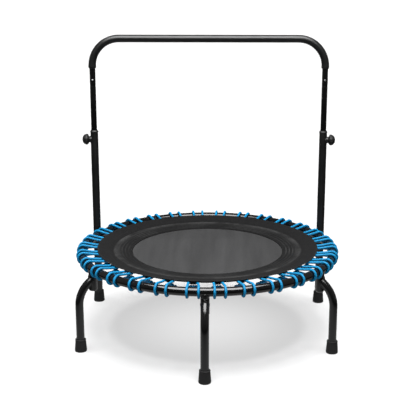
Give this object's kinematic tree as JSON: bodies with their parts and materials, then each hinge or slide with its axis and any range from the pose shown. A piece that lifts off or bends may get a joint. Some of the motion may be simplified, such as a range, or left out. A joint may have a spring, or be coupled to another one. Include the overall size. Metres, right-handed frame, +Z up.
{
  "type": "mini trampoline",
  "caption": "Round fitness rebounder: a mat hung on bungee cords in a tube frame on arched legs, with a padded handlebar whose height is set by clamp screws.",
  "frame": {"origin": "on the floor, below the middle of the mat", "axes": "+Z up, +Y towards the handlebar, +X to the right of a user who faces the bar"},
  "size_m": [1.0144, 1.115, 1.1054],
  "materials": {
    "frame_paint": "gloss black powder coat",
    "leg_paint": "satin black powder coat",
    "bar_paint": "satin black powder coat",
    "foot_rubber": "matte black rubber",
    "mat_weave": "woven polypropylene, grey",
    "webbing": "black webbing",
    "cover_fabric": "coated black cover fabric, semi-gloss",
    "bungee": "bright blue braided sleeve",
    "foam": "closed-cell foam, dark grey",
    "black_plastic": "moulded black plastic",
    "steel": "zinc-plated steel"
  },
  "bodies": {
    "frame": {"frame_ring": "frame_paint", "front_leg": "leg_paint", "right_leg": "leg_paint", "rear_leg": "leg_paint", "left_leg": "leg_paint", "front_foot": "foot_rubber", "right_foot": "foot_rubber", "rear_foot": "foot_rubber", "left_foot": "foot_rubber", "right_post_foot": "foot_rubber", "left_post_foot": "foot_rubber", "left_lower_post": "leg_paint", "right_lower_post": "leg_paint", "left_post_bush": "black_plastic", "right_post_bush": "black_plastic", "cord_01": "bungee", "cord_02": "bungee", "cord_03": "bungee", "cord_04": "bungee", "cord_05": "bungee", "cord_06": "bungee", "cord_07": "bungee", "cord_08": "bungee", "cord_09": "bungee", "cord_10": "bungee", "cord_11": "bungee", "cord_12": "bungee", "cord_13": "bungee", "cord_14": "bungee", "cord_15": "bungee", "cord_16": "bungee", "cord_17": "bungee", "cord_18": "bungee", "cord_19": "bungee", "cord_20": "bungee", "cord_21": "bungee", "cord_22": "bungee", "cord_23": "bungee", "cord_24": "bungee", "cord_25": "bungee", "cord_26": "bungee", "cord_27": "bungee", "cord_28": "bungee", "cord_29": "bungee", "cord_30": "bungee"},
    "mat": {"mat_sheet": "mat_weave", "mat_hem": "webbing", "mat_skirt": "cover_fabric"},
    "handlebar": {"handlebar_tube": "bar_paint", "foam_grip": "foam", "left_upper_post": "bar_paint", "right_upper_post": "bar_paint", "left_button_spring": "steel", "right_button_spring": "steel"},
    "left_clamp_screw": {"left_clamp_stud": "steel"},
    "left_clamp_knob": {"left_clamp_knob": "black_plastic"},
    "right_clamp_screw": {"right_clamp_stud": "steel"},
    "right_clamp_knob": {"right_clamp_knob": "black_plastic"},
    "left_snap_button": {"left_snap_button": "steel"},
    "right_snap_button": {"right_snap_button": "steel"}
  },
  "joints": [
    {"name": "mat_bounce", "type": "slide", "parent": "frame", "child": "mat", "axis": [0, 0, 1], "range_m": [-0.06, 0.01], "stiffness_N_per_m": 8000, "springref_m": 0.001, "deforming": ["cord_01", "cord_02", "cord_03", "cord_04", "cord_05", "cord_06", "cord_07", "cord_08", "cord_09", "cord_10", "cord_11", "cord_12", "cord_13", "cord_14", "cord_15", "cord_16", "cord_17", "cord_18", "cord_19", "cord_20", "cord_21", "cord_22", "cord_23", "cord_24", "cord_25", "cord_26", "cord_27", "cord_28", "cord_29", "cord_30"]},
    {"name": "handlebar_height", "type": "slide", "parent": "frame", "child": "handlebar", "axis": [0, 0, 1], "range_m": [-0.15, 0.15]},
    {"name": "left_clamp_travel", "type": "slide", "parent": "frame", "child": "left_clamp_screw", "axis": [-1, 0, 0], "range_m": [0, 0.00375]},
    {"name": "left_clamp_turn", "type": "hinge", "parent": "left_clamp_screw", "child": "left_clamp_knob", "pos_m": [-0.45899, 0.265, 0.689], "axis": [-1, 0, 0], "range_deg": [0, 1080]},
    {"name": "right_clamp_travel", "type": "slide", "parent": "frame", "child": "right_clamp_screw", "axis": [1, 0, 0], "range_m": [0, 0.00375]},
    {"name": "right_clamp_turn", "type": "hinge", "parent": "right_clamp_screw", "child": "right_clamp_knob", "pos_m": [0.45899, 0.265, 0.689], "axis": [1, 0, 0], "range_deg": [0, 1080]},
    {"name": "left_button_press", "type": "slide", "parent": "handlebar", "child": "left_snap_button", "axis": [0, 1, 0], "range_m": [0, 0.0045], "stiffness_N_per_m": 800, "deforming": ["left_button_spring"]},
    {"name": "right_button_press", "type": "slide", "parent": "handlebar", "child": "right_snap_button", "axis": [0, 1, 0], "range_m": [0, 0.0045], "stiffness_N_per_m": 800, "deforming": ["right_button_spring"]}
  ],
  "couplings": [
    {"joint": "left_clamp_turn", "follows": "left_clamp_travel", "rad_per_m": 5026.5},
    {"joint": "right_clamp_turn", "follows": "right_clamp_travel", "rad_per_m": 5026.5}
  ]
}
